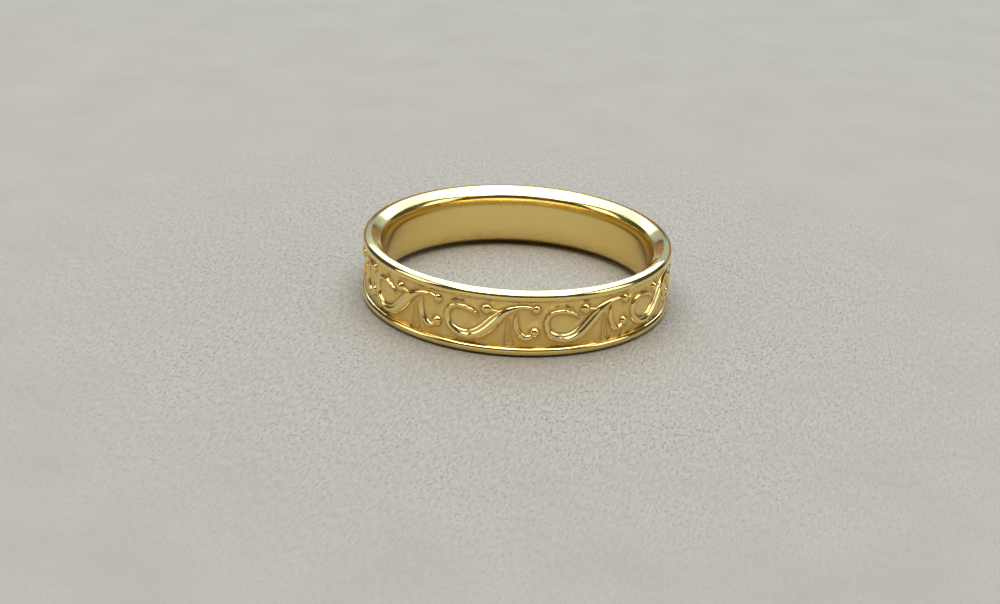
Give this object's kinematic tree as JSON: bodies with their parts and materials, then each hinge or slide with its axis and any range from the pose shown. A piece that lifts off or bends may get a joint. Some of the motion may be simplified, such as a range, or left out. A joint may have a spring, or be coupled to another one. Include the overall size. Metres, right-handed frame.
{
  "type": "wedding band",
  "caption": "Yellow gold wedding band with a rounded comfort-fit bore, two plain edge rails and a running relief border of leaf scrolls, curls and beads between them.",
  "frame": {"origin": "centre of the finger bore, at mid-width of the band", "axes": "+Z along the finger, square to the band; the middle of the first scroll repeat faces -Y and the scroll runs towards +X there"},
  "size_m": [0.02, 0.02, 0.0042],
  "materials": {
    "band_gold": "polished",
    "field_gold": "satin",
    "scroll_gold": "polished"
  },
  "bodies": {
    "root": {"arch_beads": "scroll_gold", "bud_beads": "scroll_gold", "bud_stem_01": "scroll_gold", "bud_stem_02": "scroll_gold", "bud_stem_03": "scroll_gold", "bud_stem_04": "scroll_gold", "bud_stem_05": "scroll_gold", "bud_stem_06": "scroll_gold", "bud_stem_07": "scroll_gold", "bud_stem_08": "scroll_gold", "bud_stem_09": "scroll_gold", "bud_stem_10": "scroll_gold", "comfort_sleeve": "band_gold", "curl_beads": "scroll_gold", "dart_leaf_01": "scroll_gold", "dart_leaf_02": "scroll_gold", "dart_leaf_03": "scroll_gold", "dart_leaf_04": "scroll_gold", "dart_leaf_05": "scroll_gold", "dart_leaf_06": "scroll_gold", "dart_leaf_07": "scroll_gold", "dart_leaf_08": "scroll_gold", "dart_leaf_09": "scroll_gold", "dart_leaf_10": "scroll_gold", "ground_strip": "field_gold", "leaf_scroll_01": "scroll_gold", "leaf_scroll_02": "scroll_gold", "leaf_scroll_03": "scroll_gold", "leaf_scroll_04": "scroll_gold", "leaf_scroll_05": "scroll_gold", "leaf_scroll_06": "scroll_gold", "leaf_scroll_07": "scroll_gold", "leaf_scroll_08": "scroll_gold", "leaf_scroll_09": "scroll_gold", "leaf_scroll_10": "scroll_gold", "lower_curl_01": "scroll_gold", "lower_curl_02": "scroll_gold", "lower_curl_03": "scroll_gold", "lower_curl_04": "scroll_gold", "lower_curl_05": "scroll_gold", "lower_curl_06": "scroll_gold", "lower_curl_07": "scroll_gold", "lower_curl_08": "scroll_gold", "lower_curl_09": "scroll_gold", "lower_curl_10": "scroll_gold", "lower_rail": "band_gold", "upper_rail": "band_gold"}
  },
  "joints": []
}
